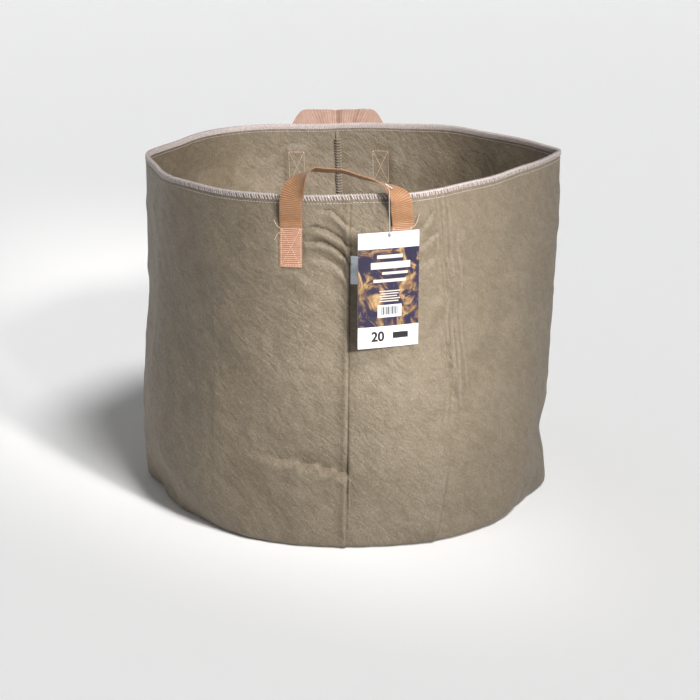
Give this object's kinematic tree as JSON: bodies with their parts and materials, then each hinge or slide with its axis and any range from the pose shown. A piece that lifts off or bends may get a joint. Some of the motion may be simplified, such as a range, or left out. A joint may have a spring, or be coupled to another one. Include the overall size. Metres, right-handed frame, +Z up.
{
  "type": "fabric grow bag",
  "caption": "Round open-topped felt planter bag with folding webbing handles, a sewn seam label and a hanging card tag.",
  "frame": {"origin": "centre of the underside, on the surface the bag stands on", "axes": "+Z up, -Y to the front where the front seam and the hang tag are, +X to the right seen from the front"},
  "size_m": [0.5124, 0.5568, 0.4349],
  "materials": {
    "felt": "needle-punched felt, tan",
    "webbing": "woven polypropylene webbing, light brown",
    "thread": "polyester sewing thread, off-white",
    "tag_card": "printed coated card",
    "label_tape": "woven satin tape, white",
    "nylon": "moulded natural nylon"
  },
  "bodies": {
    "bag": {"wall_panel_right": "felt", "wall_panel_left": "felt", "base_panel": "felt", "base_overlock": "thread", "rim_overlock": "thread", "rim_needle_line": "thread", "front_seam_overlock": "thread", "back_seam_overlock": "thread", "front_handle_left_end": "webbing", "front_handle_left_stitching": "thread", "front_handle_right_end": "webbing", "front_handle_right_stitching": "thread", "back_handle_left_end": "webbing", "back_handle_left_stitching": "thread", "back_handle_right_end": "webbing", "back_handle_right_stitching": "thread", "side_label": "label_tape"},
    "front_handle": {"front_handle_loop": "webbing"},
    "tag_pin": {"tag_fastener": "nylon"},
    "tag_card": {"hang_tag": "tag_card"},
    "back_handle": {"back_handle_loop": "webbing"}
  },
  "joints": [
    {"name": "front_handle_fold", "type": "hinge", "parent": "bag", "child": "front_handle", "pos_m": [0, -0.2326, 0.366], "axis": [1, 0, 0], "range_deg": [0, 135]},
    {"name": "tag_pin_hang", "type": "hinge", "parent": "front_handle", "child": "tag_pin", "pos_m": [0.0465, -0.2492, 0.408], "axis": [1, 0, 0], "range_deg": [-135, 0]},
    {"name": "hang_tag_swing", "type": "hinge", "parent": "tag_pin", "child": "tag_card", "pos_m": [0.0465, -0.245, 0.359], "axis": [0.342, -0.9397, 0], "range_deg": [-25, 25]},
    {"name": "back_handle_fold", "type": "hinge", "parent": "bag", "child": "back_handle", "pos_m": [-0.0115, 0.2792, 0.366], "axis": [-0.9999, -0.0157, 0], "range_deg": [0, 115]}
  ],
  "couplings": [
    {"joint": "tag_pin_hang", "follows": "front_handle_fold", "ratio": -1}
  ]
}
